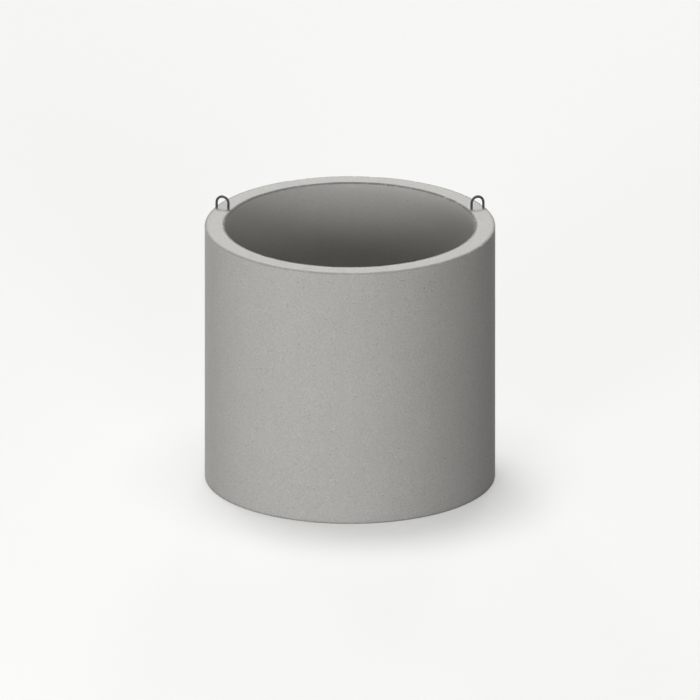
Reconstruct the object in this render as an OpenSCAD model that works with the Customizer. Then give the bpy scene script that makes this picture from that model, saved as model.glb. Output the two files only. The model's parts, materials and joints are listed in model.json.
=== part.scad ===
// Precast concrete manhole ring with two lifting loops cast into its rim.
//
// The ring stands on its flat lower face. Z is the axis of the bore, and the
// origin is the middle of the lower face. All sizes are in millimetres.

/* [Ring wall] */
// Inner diameter of the ring
bore_d = 1000; // [700:10:2000]
// Thickness of the wall
wall_t = 80; // [60:1:160]
// Height from the lower face to the rim
ring_h = 1000; // [500:10:1500]
// Radius of the rounded arris at each of the four circular edges
arris_r = 4; // [1:0.5:8]

/* [Lifting loops] */
// Diameter of the smooth round bar
bar_d = 10; // [6:1:14]
// Concrete left between a leg and the nearer face of the wall
cover = 10; // [5:1:15]
// Straight part of each leg between the rim and the bow
leg_rise = 27; // [15:1:60]
// Angle of each loop behind the line through the ring's left and right sides
loop_angle = 19.5; // [0:0.5:45]
// Gap between a bar and the concrete cast round it
cast_gap = 0; // [0:0.05:1]

/* [Anchor tails] */
// Depth of the tails below the rim, at the middle of the bar
anchor_depth = 250; // [150:5:400]
// Radius of the bend between a leg and its tail, at the middle of the bar
anchor_bend_r = 25; // [20:1:40]
// Length of each tail beyond its bend, along the wall
anchor_tail = 40; // [20:1:80]

/* [Hidden] */

inner_r = bore_d / 2;
outer_r = inner_r + wall_t;
middle_r = inner_r + wall_t / 2;
bow_r = wall_t / 2 - cover - bar_d / 2;
ring_facets = 240;
bar_facets = 32;
overrun = 1;

// What the arris takes off a square corner at the origin. The corner's free
// sides face along sx and sy, each 1 or -1.
module arris_waste(sx, sy) {
    translate([-sx * arris_r, -sy * arris_r])
        difference() {
            towards_corner(sx, sy)
                square(arris_r + overrun);
            circle(r = arris_r, $fn = bar_facets);
        }
}

// Turns a shape drawn in the first quarter into the quarter of sx and sy.
module towards_corner(sx, sy) {
    mirror([sx > 0 ? 0 : 1, 0])
        mirror([0, sy > 0 ? 0 : 1])
            children();
}

// Section of the wall on one side of the axis, with its four arrises rounded.
module wall_section() {
    difference() {
        translate([inner_r, 0])
            square([wall_t, ring_h]);
        for (sy = [-1, 1])
            translate([0, sy > 0 ? ring_h : 0]) {
                translate([inner_r, 0])
                    arris_waste(-1, sy);
                translate([outer_r, 0])
                    arris_waste(1, sy);
            }
    }
}

// Round bar of radius r bent in the XY plane about the origin, from the X axis
// through the given angle.
module bent_bar(r, bend_r, angle) {
    rotate_extrude(angle = angle, $fn = ring_facets)
        translate([bend_r, 0])
            circle(r = r, $fn = bar_facets);
}

// One leg below the bow: straight down from the bow into the wall, round its
// bend and into the tail, which sets off along +Y and then follows the curve of
// the wall. On the outer leg, side is 1 and the ring's axis lies towards -X. On
// the inner leg, side is -1 and it lies towards +X.
module leg_and_tail(side, gap) {
    r = bar_d / 2 + gap;
    curve_r = middle_r + side * bow_r;
    translate([0, 0, anchor_bend_r - anchor_depth])
        cylinder(r = r, h = anchor_depth - anchor_bend_r + leg_rise,
                 $fn = bar_facets);
    translate([0, anchor_bend_r, anchor_bend_r - anchor_depth])
        rotate([0, 90, 0])
            rotate([0, 0, -90])
                bent_bar(r, anchor_bend_r, 90);
    translate([-side * curve_r, anchor_bend_r, -anchor_depth])
        mirror([side > 0 ? 0 : 1, 0, 0])
            bent_bar(r, curve_r, (anchor_tail + gap) / curve_r * 180 / PI);
}

// A whole loop, or the space it takes up in the concrete with a gap round it.
// It stands across the wall, with its origin on the rim midway between the legs
// and +X outwards. The tails turn opposite ways along the wall, so that the loop
// can be neither pulled out nor twisted.
module loop_bar(gap) {
    translate([0, 0, leg_rise])
        rotate([90, 0, 0])
            bent_bar(bar_d / 2 + gap, bow_r, 180);
    for (side = [1, -1])
        rotate([0, 0, side > 0 ? 0 : 180])
            translate([bow_r, 0, 0])
                leg_and_tail(side, gap);
}

// Puts a loop on the rim's middle line, at this angle round from the X axis.
module on_rim(angle) {
    rotate([0, 0, angle])
        translate([middle_r, 0, ring_h])
            children();
}

module ring_wall() {
    color([0.70, 0.70, 0.68])
        difference() {
            rotate_extrude($fn = ring_facets)
                wall_section();
            for (angle = [loop_angle, 180 - loop_angle])
                on_rim(angle)
                    loop_bar(cast_gap);
        }
}

module lifting_loop(angle) {
    color([0.22, 0.22, 0.21])
        on_rim(angle)
            loop_bar(0);
}

module lifting_loop_left() {
    lifting_loop(180 - loop_angle);
}

module lifting_loop_right() {
    lifting_loop(loop_angle);
}

ring_wall();
lifting_loop_left();
lifting_loop_right();
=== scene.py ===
"""A precast concrete manhole ring with two steel lifting loops, on the pale floor of a studio."""

import json
import math
import random

import bmesh
import bpy
from mathutils import Matrix, Vector, noise


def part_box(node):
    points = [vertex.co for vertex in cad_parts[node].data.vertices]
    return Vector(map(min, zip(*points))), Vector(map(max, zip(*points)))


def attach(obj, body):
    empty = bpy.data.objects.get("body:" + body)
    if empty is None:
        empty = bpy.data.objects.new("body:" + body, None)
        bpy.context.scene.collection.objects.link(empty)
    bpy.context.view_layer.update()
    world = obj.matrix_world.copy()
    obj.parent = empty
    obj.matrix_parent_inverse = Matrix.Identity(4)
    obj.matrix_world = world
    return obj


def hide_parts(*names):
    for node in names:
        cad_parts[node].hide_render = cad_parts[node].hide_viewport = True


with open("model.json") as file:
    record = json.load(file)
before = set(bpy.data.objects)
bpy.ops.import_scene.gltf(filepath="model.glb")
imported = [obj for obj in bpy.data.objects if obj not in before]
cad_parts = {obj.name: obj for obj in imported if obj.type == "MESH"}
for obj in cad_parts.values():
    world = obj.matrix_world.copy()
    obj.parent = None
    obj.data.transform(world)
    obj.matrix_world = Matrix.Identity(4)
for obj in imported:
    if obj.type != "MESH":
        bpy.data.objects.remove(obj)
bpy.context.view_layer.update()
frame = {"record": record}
mounts = {mount["name"]: mount for mount in frame["record"]["mounts"]}
scene = bpy.context.scene

# ---------------------------------------------------------------------------
# Lifting loops. Each is one plain round bar of hot-rolled steel, bent cold into
# a bow with two legs and hooked at its ends. It is tied in the form before the
# pour, so that the concrete sets round its legs and tails.
# ---------------------------------------------------------------------------
ring_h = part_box("ring_wall")[1].z
outer_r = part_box("ring_wall")[1].x
inner_r = mounts["bore"]["dims"]["r_mm"] / 1000
middle_r = (inner_r + outer_r) / 2

bar_r = 0.005
cover = 0.010                   # concrete between a leg and the nearer face of the wall
bow_r = (outer_r - inner_r) / 2 - cover - bar_r
bend_r = 0.025                  # bend between a leg and its tail
tail_run = 0.040                # tail beyond its bend
bar_sides = 28                  # flats round the bar
tail_steps = 8                  # divisions along each tail, bend, leg and bow
bend_steps = 12
leg_steps = 28
bow_steps = 36
mill_wave = 0.00012             # how far the rolled bar is out of round
mill_rate = 90                  # waves of that to the metre
crisp = math.radians(38)        # edges sharper than this stay sharp


def sweep(bar, end, steps, angle=0, centre=(0, 0, 0), axis=(0, 0, 1), run=(0, 0, 0)):
    """Grow the bar from its open end, round a bend or straight on, and return its new end."""
    grown = bmesh.ops.spin(bar, geom=end, cent=centre, axis=axis, dvec=Vector(run) / steps,
                           angle=math.radians(angle), steps=steps)
    return grown["geom_last"]


def tail_turn(radius):
    """How far round the ring a tail goes at this radius, in degrees."""
    return math.degrees(tail_run / radius)


def bend_bar(bar, leg_rise, anchor_depth):
    """A loop from tail to tail. Its origin is on the rim between the legs, and +X is outwards."""
    bend_z = bend_r - anchor_depth
    leg = leg_rise - bend_z
    outer_turn = tail_turn(middle_r + bow_r)
    inner_turn = tail_turn(middle_r - bow_r)

    # The cut end of the outer tail
    bmesh.ops.create_circle(bar, segments=bar_sides, radius=bar_r)
    end = bar.verts[:] + bar.edges[:]
    upright = Matrix.Rotation(math.pi / 2, 3, "X")
    bmesh.ops.rotate(bar, verts=bar.verts[:], cent=(0, 0, 0), matrix=upright)
    bmesh.ops.translate(bar, verts=bar.verts[:], vec=(bow_r, bend_r, -anchor_depth))
    along_wall = Matrix.Rotation(math.radians(outer_turn), 3, "Z")
    bmesh.ops.rotate(bar, verts=bar.verts[:], cent=(-middle_r, bend_r, 0), matrix=along_wall)

    # Outer tail, bend and leg, the bow, then inner leg, bend and tail
    end = sweep(bar, end, tail_steps, -outer_turn, (-middle_r, bend_r, 0))
    end = sweep(bar, end, bend_steps, -90, (bow_r, bend_r, bend_z), (1, 0, 0))
    end = sweep(bar, end, leg_steps, run=(0, 0, leg))
    end = sweep(bar, end, bow_steps, -180, (0, 0, leg_rise), (0, 1, 0))
    end = sweep(bar, end, leg_steps, run=(0, 0, -leg))
    end = sweep(bar, end, bend_steps, -90, (-bow_r, -bend_r, bend_z), (1, 0, 0))
    sweep(bar, end, tail_steps, -inner_turn, (-middle_r, -bend_r, 0))

    cut_ends = [edge for edge in bar.edges if edge.is_boundary]
    bmesh.ops.holes_fill(bar, edges=cut_ends, sides=bar_sides)
    bmesh.ops.recalc_face_normals(bar, faces=bar.faces[:])


def add_piece(mesh, name, node, finish):
    """Close a finished bmesh into a piece of the object, in place of its CAD node."""
    data = bpy.data.meshes.new(name)
    mesh.to_mesh(data)
    mesh.free()
    data.materials.append(finish)
    data.shade_smooth()
    data.set_sharp_from_angle(angle=crisp)
    piece = bpy.data.objects.new(name, data)
    scene.collection.objects.link(piece)
    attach(piece, "root")
    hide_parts(node)
    return piece


class Value:
    """A value that varies over a surface. Sums on it add their Math nodes."""

    def __init__(self, paint, socket):
        self.paint = paint
        self.socket = socket

    def output(self, name):
        """Another output of the same node."""
        return Value(self.paint, self.socket.node.outputs[name])

    def math(self, operation, *operands):
        """The outcome of a Math node on these operands."""
        return self.paint.node("Math", {"operation": operation}, dict(enumerate(operands)))

    def __add__(self, other):
        return self.math("ADD", self, other)

    def __sub__(self, other):
        return self.math("SUBTRACT", self, other)

    def __rsub__(self, other):
        return self.math("SUBTRACT", other, self)

    def __mul__(self, other):
        return self.math("MULTIPLY", self, other)

    def __abs__(self):
        return self.math("ABSOLUTE", self)

    __radd__ = __add__
    __rmul__ = __mul__


class Paint:
    """The nodes of a material or of the world."""

    def __init__(self, owner):
        owner.use_nodes = True
        self.tree = owner.node_tree

    def fill(self, node, sockets):
        """Give a node's sockets their values or links."""
        for name, entry in sockets.items():
            if isinstance(entry, Value):
                self.tree.links.new(entry.socket, node.inputs[name])
            else:
                node.inputs[name].default_value = entry

    def node(self, kind, settings=None, sockets=None, out=0):
        """Add a node of this kind, with its settings first and then its sockets."""
        node = self.tree.nodes.new("ShaderNode" + kind)
        for name, setting in (settings or {}).items():
            setattr(node, name, setting)
        self.fill(node, sockets or {})
        return Value(self, node.outputs[out])

    def finish(self, **sockets):
        """Give the surface's own shader its constants and its varying inputs."""
        named = {name.replace("_", " "): entry for name, entry in sockets.items()}
        self.fill(self.tree.nodes["Principled BSDF"], named)

    def place(self):
        """Where a point of the surface is, in metres."""
        return self.node("TexCoord", out="Object")

    def height(self):
        """How high a point of the surface is, in metres."""
        return self.node("SeparateXYZ", None, {"Vector": self.place()}, out="Z")

    def noise(self, size, detail=2.0, stretch=(1, 1, 1)):
        """Noise from -1 to 1, with features of this size in metres."""
        place = self.node("Mapping", None, {"Vector": self.place(), "Scale": stretch})
        sockets = {"Vector": place, "Scale": 1 / size, "Detail": detail}
        return self.node("TexNoise", None, sockets) * 2 - 1

    def specks(self, spacing, radius, share):
        """Round specks, as a mask. This share of the cells of this spacing have one."""
        sockets = {"Vector": self.place(), "Scale": 1 / spacing}
        from_centre = self.node("TexVoronoi", None, sockets)
        draw = self.node("SeparateColor", None, {"Color": from_centre.output("Color")})
        reach = radius / spacing
        inside = self.step(from_centre, reach, 0.5 * reach)
        chosen = self.step(draw, share, share - 0.02)
        return inside * chosen

    def step(self, value, low, high):
        """0 below low, 1 above high and smooth between them, or the other way round."""
        return self.node("MapRange", {"interpolation_type": "SMOOTHSTEP"},
                         {"Value": value, "From Min": low, "From Max": high})

    def mix(self, factor, under, over):
        """A colour that goes from under to over as the factor goes from 0 to 1."""
        # Inputs 6 and 7 and output 2 are its colours, which share their names with its numbers.
        return self.node("Mix", {"data_type": "RGBA"}, {0: factor, 6: under, 7: over}, out=2)

    def shade(self, colour, factor):
        """A colour made lighter or darker by a factor about 1."""
        return self.node("VectorMath", {"operation": "SCALE"}, {"Vector": colour, "Scale": factor})

    def relief(self, height):
        """A surface normal for fine relief of this height in metres."""
        return self.node("Bump", None, {"Height": height, "Distance": 1.0})


worn_steel = (0.044, 0.044, 0.042, 1)
scaled_steel = (0.031, 0.031, 0.031, 1)
dried_paste = (0.36, 0.355, 0.335, 1)
film_h = 0.010                  # how high the splashed paste reaches up a leg

rolled_bar = bpy.data.materials.new("rolled_bar")
steel = Paint(rolled_bar)
mill_scale = steel.step(steel.noise(0.006, 3), -0.2, 0.5)
rub = steel.noise(0.0015, 2, (1, 1, 0.4))
film_edge = steel.height() + 0.005 * steel.noise(0.008, 3)
paste_film = steel.step(film_edge, ring_h + film_h, ring_h + 0.001)
bare_steel = steel.mix(mill_scale, worn_steel, scaled_steel)
bare_steel = steel.shade(bare_steel, 1 + 0.25 * rub)
steel.finish(
    Metallic=0.35,
    Base_Color=steel.mix(0.55 * paste_film, bare_steel, dried_paste),
    Roughness=0.55 - 0.12 * mill_scale + 0.3 * paste_film,
    Normal=steel.relief(0.0001 * rub + 0.0001 * mill_scale),
)

lifting_loops = []
for side in ("left", "right"):
    eye = Vector(mounts["lifting_eye_" + side]["pos_m"])
    low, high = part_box("lifting_loop_" + side)
    bar = bmesh.new()
    bend_bar(bar, high.z - ring_h - bow_r - bar_r, ring_h - low.z - bar_r)
    round_axis = Matrix.Rotation(math.atan2(eye.y, eye.x), 4, "Z")
    bar.transform(round_axis @ Matrix.Translation((middle_r, 0, ring_h)))
    bar.normal_update()
    for vert in bar.verts:
        vert.co += mill_wave * noise.noise(mill_rate * vert.co) * vert.normal
    loop = add_piece(bar, "loop_bar_" + side, "lifting_loop_" + side, rolled_bar)
    lifting_loops.append(loop)

# ---------------------------------------------------------------------------
# Ring wall. It is one casting of dry, gritty concrete, rammed between two round
# steel forms and stripped while green. That leaves plain walls with small air
# pores, arrises that crumble a little and a rim struck off nearly flat.
# ---------------------------------------------------------------------------
arris_r = (ring_h - mounts["bore"]["dims"]["length_mm"] / 1000) / 2
wall_turns = 360                # divisions round the ring
wall_rows = 48                  # divisions up each wall
end_rows = 6                    # divisions across the rim and across the lower face
arris_steps = 4
coarse = 0.004                  # edges shorter than this are never cut finer
hair = 1e-5                     # what counts as touching

# Each rate is how many waves of its kind go to the metre.
form_wave = 0.0004              # how far the steel forms were out of true
form_rate = 2.6
strike_wave = 0.0005            # how far the struck rim is out of flat
strike_rate = 9
ripple_share = 0.33             # finer ripples on the struck rim
ripple_rate = 45
crumble = 0.0009                # how far the arrises are out of round
crumble_rate = 70

paste_h = 0.0022                # collar of paste that stands round each leg
paste_w = 0.006
paste_lumps = 0.35              # how lumpy it is
paste_rate = 260
paste_zone = 2.2 * paste_w      # how far round a leg the rim is cut finer for it
paste_cuts = 6                  # cuts in each edge there

chip_count = 34                 # chips knocked off each arris of the rim
chip_least = 0.005              # how far a chip reaches from the middle of its knock
chip_usual = 0.007
chip_greatest = 0.018
chip_shallow = 0.0008           # how deep it goes in its middle
chip_deep = 0.0024
chip_rate = 300

pore_counts = {"outer": 640, "bore": 330, "rim": 50}
pore_cell = 6e-5                # least area of a face that takes a pore, in square metres
pore_gap = 0.0006               # least distance from a pore to the edge of its cell
pore_least = 0.0009             # radius of a pore
pore_usual = 0.0014
pore_greatest = 0.0034
pore_mean = 0.97                # how far its edge reaches on average, as a share of its radius
pore_ragged = 0.25              # how ragged that edge is, as a share of its radius
pore_rate = 700
pore_spread = 1.1               # how far that edge reaches at most, as a share of its radius
pore_floor = 0.48               # radius of its floor, as a share of its own
pore_depth = 1.1                # its depth, as a share of its radius
mouth_inset = 0.001             # insets that start its mouth and its floor
floor_inset = 0.0002
dice = random.Random(1010)

leg_spots = []
for side in ("left", "right"):
    eye = Vector(mounts["lifting_eye_" + side]["pos_m"])
    outwards = Vector((eye.x, eye.y, 0)).normalized()
    leg_spots += [(middle_r + across) * outwards for across in (-bow_r, bow_r)]


def draw_wall_section(mesh):
    """The wall's section at angle 0: a rounded rectangle, cut into rows."""
    corners = [mesh.verts.new((radius, 0, height)) for radius, height in
               ((inner_r, 0), (outer_r, 0), (outer_r, ring_h), (inner_r, ring_h))]
    for start, end in zip(corners, corners[1:] + corners[:1]):
        mesh.edges.new((start, end))
    bmesh.ops.bevel(mesh, geom=corners, offset=arris_r, offset_type="OFFSET",
                    segments=arris_steps, profile=0.5, affect="VERTICES", material=-1)
    sides = [edge for edge in mesh.edges if edge.calc_length() > 5 * arris_r]
    walls = [edge for edge in sides if edge.calc_length() > ring_h / 2]
    ends = [edge for edge in sides if edge not in walls]
    bmesh.ops.subdivide_edges(mesh, edges=walls, cuts=wall_rows - 1)
    bmesh.ops.subdivide_edges(mesh, edges=ends, cuts=end_rows - 1)


def depth_in_arris(place):
    """How far a place lies past the flat of an end, and how far past the flat of a wall."""
    radius = place.xy.length
    across = max(radius - (outer_r - arris_r), inner_r + arris_r - radius) + hair
    along = max(place.z - (ring_h - arris_r), arris_r - place.z) + hair
    return max(across, 0), max(along, 0)


def in_arris(place):
    """Whether a place is on one of the four arrises."""
    across, along = depth_in_arris(place)
    return across > 0 and along > 0


def surface_of(face):
    """The plain surface that a face lies on, or None on the arrises and the lower face."""
    centre = face.calc_center_median()
    across, along = depth_in_arris(centre)
    if across and along:
        return None
    if across:
        return "outer" if centre.xy.length > middle_r else "bore"
    return "rim" if centre.z > ring_h / 2 else None


def from_leg(place):
    """Distance on the rim from the middle of the nearest leg."""
    return min((Vector((place.x, place.y, 0)) - spot).length for spot in leg_spots)


def runs_round(edge):
    """Whether an edge runs round the ring, and not up it or across it."""
    start, end = (vert.co for vert in edge.verts)
    return abs(start.z - end.z) < hair and abs(start.xy.length - end.xy.length) < hair


def knock_chips():
    """Where the arrises of the rim were knocked: (place, width, depth) of each chip."""
    marks = []
    for radius in (inner_r, outer_r):
        for _ in range(chip_count):
            angle = dice.uniform(0, 2 * math.pi)
            spot = Vector((radius * math.cos(angle), radius * math.sin(angle), ring_h))
            width = dice.triangular(chip_least, chip_greatest, chip_usual)
            marks.append((spot, width, dice.uniform(chip_shallow, chip_deep)))
    return marks


def near_chips(place, chips, margin=0):
    """The chips that reach a place, or that come within a margin of it."""
    if place.z < ring_h - chip_greatest - margin:
        return []
    return [chip for chip in chips if (place - chip[0]).length < chip[1] + margin]


def cut_edges(mesh, edges, cuts):
    """Cut these edges into equal shorter ones, with a grid between them."""
    bmesh.ops.subdivide_edges(mesh, edges=edges, cuts=cuts,
                              use_grid_fill=True, use_single_edge=True)


def cut_finer(mesh, picked, cuts):
    """Cut the longer edges of the picked faces, each edge once."""
    edges = {edge: None for face in picked for edge in face.edges if edge.calc_length() > coarse}
    cut_edges(mesh, list(edges), cuts)


def weather(vert, chips):
    """Move a vertex as far as the forms, the strike-off and later knocks leave it out of true."""
    place = vert.co.copy()
    outwards = Vector((place.x, place.y, 0)).normalized()
    if place.xy.length < middle_r:
        outwards.negate()
    endwards = Vector((0, 0, 1 if place.z > ring_h / 2 else -1))
    across, along = depth_in_arris(place)
    if across:
        vert.co += form_wave * noise.noise(form_rate * place) * outwards
    if along and place.z > ring_h / 2:
        ripples = ripple_share * noise.noise(ripple_rate * place)
        vert.co.z += strike_wave * (noise.noise(strike_rate * place) + ripples)
        reach = max(from_leg(place) - bar_r, 0) / paste_w
        if reach < 1:
            lumps = 1 + paste_lumps * noise.noise(paste_rate * place)
            vert.co.z += paste_h * lumps * (1 - reach) ** 2

    loss = crumble * abs(noise.noise(crumble_rate * place)) * min(across, along) / arris_r
    for spot, width, depth in near_chips(place, chips):
        ragged = 0.8 + 0.4 * abs(noise.noise(chip_rate * place))
        loss = max(loss, depth * ragged * (1 - ((place - spot).length / width) ** 2))
    vert.co -= loss * (outwards + endwards).normalized()


def station(face):
    """Where a face is, by angle, height and radius. It sorts faces the same way on every run."""
    centre = face.calc_center_median()
    angle = math.degrees(math.atan2(centre.y, centre.x))
    return round(angle, 2), round(centre.z, 4), round(centre.xy.length, 4)


def pick_cells(mesh):
    """The faces that get a pore, at random among the larger ones of each plain surface."""
    cells = []
    for surface, count in pore_counts.items():
        clear = [face for face in mesh.faces if surface_of(face) == surface
                 and len(face.verts) == 4 and face.calc_area() > pore_cell]
        cells += dice.sample(sorted(clear, key=station), count)
    return cells


def sink_pores(mesh, cells):
    """Sink a pore somewhere in each of these faces: an eight-sided pit with a narrower floor."""
    pits = []
    for face in cells:
        middle = face.calc_center_median()
        radius = dice.triangular(pore_least, pore_greatest, pore_usual)
        place = middle.copy()
        round_ring = Vector((-middle.y, middle.x, 0)).normalized()
        for axis in (round_ring, face.normal.cross(round_ring)):
            half = min(abs((vert.co - middle).dot(axis)) for vert in face.verts)
            room = max(half - pore_spread * radius - pore_gap, 0)
            place += dice.uniform(-room, room) * axis
        pits.append((place, radius, face.normal.copy()))

    bmesh.ops.inset_individual(mesh, faces=cells, thickness=mouth_inset)
    rims = [edge for face in cells for edge in face.edges]
    bmesh.ops.subdivide_edges(mesh, edges=rims, cuts=1)
    for face, (place, radius, _) in zip(cells, pits):
        middle = face.calc_center_median()
        for vert in face.verts:
            ragged = pore_mean + pore_ragged * noise.noise(pore_rate * vert.co)
            vert.co = place + ragged * radius * (vert.co - middle).normalized()

    bmesh.ops.inset_individual(mesh, faces=cells, thickness=floor_inset)
    for face, (place, radius, normal) in zip(cells, pits):
        for vert in face.verts:
            inwards = pore_floor * (vert.co - place).normalized() - pore_depth * normal
            vert.co = place + radius * inwards


def set_round(casting, bars):
    """Leave in a casting the channels of the bars that it set round."""
    for bar in bars:
        channel = casting.modifiers.new("channel", "BOOLEAN")
        channel.object = bar
        channel.solver = "EXACT"
    as_set = casting.evaluated_get(bpy.context.evaluated_depsgraph_get())
    casting.data = bpy.data.meshes.new_from_object(as_set)
    casting.modifiers.clear()
    # The cut leaves vertices along straight edges that no face needs.
    mesh = bmesh.new()
    mesh.from_mesh(casting.data)
    spare = [vert for vert in mesh.verts if len(vert.link_edges) == 2]
    bmesh.ops.dissolve_verts(mesh, verts=spare)
    mesh.to_mesh(casting.data)
    mesh.free()
    casting.data.set_sharp_from_angle(angle=crisp)


ring = bmesh.new()
draw_wall_section(ring)
bmesh.ops.spin(ring, geom=ring.verts[:] + ring.edges[:], cent=(0, 0, 0), axis=(0, 0, 1),
               angle=2 * math.pi, steps=wall_turns, use_merge=True)
bmesh.ops.recalc_face_normals(ring, faces=ring.faces[:])

# The chips, the rim round the legs and the arrises carry finer shapes, so they are cut finer.
chips = knock_chips()
for cuts in (1, 2):
    chipped = {vert: None for vert in ring.verts if near_chips(vert.co, chips, coarse)}
    cut_finer(ring, {face: None for vert in chipped for face in vert.link_faces}, cuts)
round_legs = [face for face in ring.faces if surface_of(face) == "rim"
              and from_leg(face.calc_center_median()) < bar_r + paste_zone]
cut_finer(ring, round_legs, paste_cuts)
arris_rings = [edge for edge in ring.edges if runs_round(edge) and edge.calc_length() > coarse
               and all(in_arris(vert.co) for vert in edge.verts)]
cut_edges(ring, arris_rings, 1)

# The pores' faces are picked while the wall is still true, and sunk once it is weathered.
pore_cells = pick_cells(ring)
for vert in ring.verts:
    weather(vert, chips)
ring.normal_update()
sink_pores(ring, pore_cells)

warm_concrete = (0.505, 0.494, 0.464, 1)
cool_concrete = (0.492, 0.490, 0.473, 1)

cast_concrete = bpy.data.materials.new("cast_concrete")
concrete = Paint(cast_concrete)
level = concrete.node("VectorMath", {"operation": "MULTIPLY"}, {0: concrete.place(), 1: (1, 1, 0)})
radius = concrete.node("VectorMath", {"operation": "LENGTH"}, {0: level}, out="Value")

# The arrises are darker where they are worn, most of all on the bore's side.
from_end = ring_h / 2 - abs(concrete.height() - ring_h / 2)
from_face = (outer_r - inner_r) / 2 - abs(radius - middle_r)
arris_edge = 1.4 * from_end + 0.75 * from_face + 0.0030 * concrete.noise(0.009, 4)
bore_half = concrete.step(radius, middle_r + 0.001, middle_r - 0.001)
rubbed = 0.36 + 0.26 * bore_half + 0.10 * concrete.noise(0.04, 2)
worn = concrete.step(arris_edge, 0.0105, 0.0025) * rubbed

# A thin ring round the foot of each leg is painted darker: painted shade where the leg meets the
# rim.
leg_gaps = [concrete.node("VectorMath", {"operation": "DISTANCE"}, {0: level, 1: spot}, out="Value")
            for spot in leg_spots]
leg_gap = leg_gaps[0]
for other_gap in leg_gaps[1:]:
    leg_gap = leg_gap.math("MINIMUM", leg_gap, other_gap)
leg_gap = leg_gap + 0.0015 * concrete.noise(0.004, 2)
# Mask of the painted shade round the foot of each leg
leg_foot_shade = concrete.step(leg_gap, bar_r + 0.0045, bar_r + 0.0005)

# Sand, grit and dust, with pale grains and darker specks among them. The darker specks are small
# dents whose darker colour is painted shade in the dent. The bore's face is smoother.
core_side = concrete.step(radius, inner_r + 0.003, inner_r + 0.001)
clump = concrete.step(concrete.noise(0.028, 2), -0.5, 0.5)
sand = concrete.noise(0.0065, 2)
grit = concrete.noise(0.0026, 2)
dust = concrete.noise(0.0009, 2)
# Small dents in the relief, painted darker as painted shade in each dent
shaded_dent_specks = concrete.specks(0.021, 0.0030, 0.45)
pale_specks = concrete.specks(0.026, 0.0026, 0.35)
dark_sand = concrete.specks(0.0029, 0.0008, 0.55)
pale_sand = concrete.specks(0.0026, 0.0007, 0.5)
grain = 0.20 * sand + 0.12 * grit + 0.10 * dust - 0.32 * shaded_dent_specks + 0.18 * pale_specks
grain = grain - 0.28 * dark_sand + 0.20 * pale_sand
grain = grain * (0.8 + 0.8 * clump) * (1 - 0.6 * core_side)

# Clouds, patches and upright streaks left by the pour
cloud = concrete.noise(0.33, 4)
patch = concrete.noise(0.07, 3)
streak = concrete.noise(0.05, 3, (1, 1, 0.05))
tone = 1 + 0.035 * cloud + 0.03 * patch + 0.02 * streak + grain
concrete_colour = concrete.mix(0.5 + 0.5 * cloud, warm_concrete, cool_concrete)
concrete.finish(
    Specular_IOR_Level=0.25,
    # The last factor of the base colour darkens a thin ring round each leg, as painted shade where
    # the leg meets the rim.
    Base_Color=concrete.shade(concrete_colour, tone * (1 - worn) * (1 - 0.3 * leg_foot_shade)),
    Roughness=0.92 + 0.05 * patch,
    Normal=concrete.relief(0.0005 * sand + 0.0002 * grit + 0.00006 * dust - 0.0006 * shaded_dent_specks),
)

ring_concrete = add_piece(ring, "ring_concrete", "ring_wall", cast_concrete)
set_round(ring_concrete, lifting_loops)

# ---------------------------------------------------------------------------
# Studio. The floor and the backdrop are one pale tone to the eye. To the ring
# they are dim, so that its tones come from the lamps and a soft fill.
# ---------------------------------------------------------------------------
pale = (0.930, 0.930, 0.913, 1)
floor_size = 240                # so wide that its edges lie beyond any view
floor_glow = 0.26               # share of the floor's tone that no shadow darkens
floor_shade = (0.874, 0.874, 0.858, 1)
floor_bounce = (0.060, 0.060, 0.059, 1)
fill_light = 0.125
white = (1, 1, 1, 1)


def seen_by_eye(paint):
    """1 for rays from the camera, also by way of gloss or glass, and 0 for light on its way."""
    ray = paint.node("LightPath", out="Is Camera Ray")
    return ray + ray.output("Is Glossy Ray") + ray.output("Is Transmission Ray")


floor_paint = bpy.data.materials.new("floor_paint")
card = Paint(floor_paint)
card_glow = card.node("Emission", None, {"Color": pale})
card_shade = card.node("BsdfDiffuse", None, {"Color": floor_shade})
card_seen = card.node("MixShader", None, {0: floor_glow, 1: card_shade, 2: card_glow})
card_bounce = card.node("BsdfDiffuse", None, {"Color": floor_bounce})
card_both = card.node("MixShader", None, {0: seen_by_eye(card), 1: card_bounce, 2: card_seen})
card.fill(card.tree.nodes["Material Output"], {"Surface": card_both})

bpy.ops.mesh.primitive_plane_add(size=floor_size)
floor = bpy.context.object
floor.name = "floor"
floor.data.materials.append(floor_paint)

scene.world = bpy.data.worlds.new("studio")
room = Paint(scene.world)
fill = room.node("Background", None, {"Strength": fill_light, "Color": white})
backdrop = room.node("Background", None, {"Color": pale})
room_both = room.node("MixShader", None, {0: seen_by_eye(room), 1: fill, 2: backdrop})
room.fill(room.tree.nodes["World Output"], {"Surface": room_both})

# ---------------------------------------------------------------------------
# Lamps. Strength is the tone that a lamp alone gives a white surface facing it.
# Azimuth is from the front, positive to the right, and all angles are degrees.
# ---------------------------------------------------------------------------
hung_at = 4                     # where a far lamp hangs; its light is the same from any distance


def hang_lamp(name, kind, azimuth, elevation):
    """A lamp without its strength, and the direction that its light comes from."""
    turn = math.radians(azimuth)
    rise = math.radians(elevation)
    level = Vector((math.sin(turn), -math.cos(turn), 0))
    towards = math.cos(rise) * level + Vector((0, 0, math.sin(rise)))
    light = bpy.data.lights.new(name, kind)
    lamp = bpy.data.objects.new(name, light)
    lamp.rotation_euler = towards.to_track_quat("Z", "Y").to_euler()
    scene.collection.objects.link(lamp)
    return lamp, towards


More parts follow.
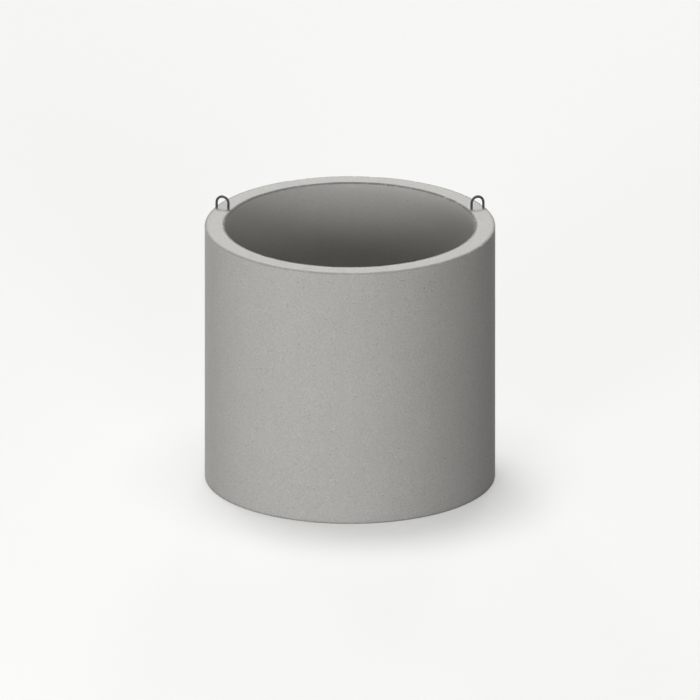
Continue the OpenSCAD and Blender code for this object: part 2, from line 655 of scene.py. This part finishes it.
def far_lamp(name, azimuth, elevation, strength, width):
    """A broad lamp far away, this wide as seen from the ring."""
    lamp, towards = hang_lamp(name, "SUN", azimuth, elevation)
    lamp.location = hung_at * towards
    lamp.data.energy = strength * math.pi
    lamp.data.angle = math.radians(width)


def standing_panel(name, azimuth, distance, strength, width, height):
    """A soft panel that stands on the floor, lower than the rim, so that it leaves the bore dark."""
    lamp, towards = hang_lamp(name, "AREA", azimuth, 0)
    lamp.location = distance * towards + Vector((0, 0, height / 2))
    lamp.data.shape = "RECTANGLE"
    lamp.data.size = width
    lamp.data.size_y = height
    lamp.data.energy = strength * (math.pi * distance) ** 2
    lamp.visible_camera = False


far_lamp("front_left_lamp", -25, 8, 0.27, 18)
far_lamp("front_right_lamp", 15, 8, 0.25, 18)
far_lamp("low_left_lamp", -52, 2, 0.10, 4)
far_lamp("back_left_lamp", -160, 5, 0.30, 10)
far_lamp("back_right_lamp", 170, 5, 0.30, 10)
far_lamp("high_back_lamp", -160, 74, 0.40, 22)
far_lamp("overhead_lamp", 180, 88, 0.42, 48)
standing_panel("left_panel", -44, 6, 0.16, 3, 0.95)

# ---------------------------------------------------------------------------
# Camera. It draws an oblique view: widths and heights stay true, and depths are
# drawn upwards at about a third of their length.
# ---------------------------------------------------------------------------
depth_drawn = 0.336             # length drawn for a depth of 1
view_w = 2.795
camera_reach = 8
far_clip = 200

# The stand's columns are the camera's right, up and backwards, and then its place. Up stays
# plumb while the camera looks down at an angle, and that makes the view oblique.
away = Vector((0, -1, depth_drawn)).normalized()
stand_at = Vector((0, 0, ring_h / 2)) + camera_reach * away
camera = bpy.data.objects.new("camera", bpy.data.cameras.new("camera"))
camera.data.type = "ORTHO"
camera.data.ortho_scale = view_w
camera.data.clip_end = far_clip
stand = bpy.data.objects.new("camera_stand", None)
camera.parent = stand
camera.matrix_parent_inverse = Matrix(((1, 0, away.x, stand_at.x),
                                       (0, 0, away.y, stand_at.y),
                                       (0, 1, away.z, stand_at.z),
                                       (0, 0, 0, 1)))
scene.collection.objects.link(camera)
scene.collection.objects.link(stand)
scene.camera = camera
scene.view_settings.view_transform = "Standard"
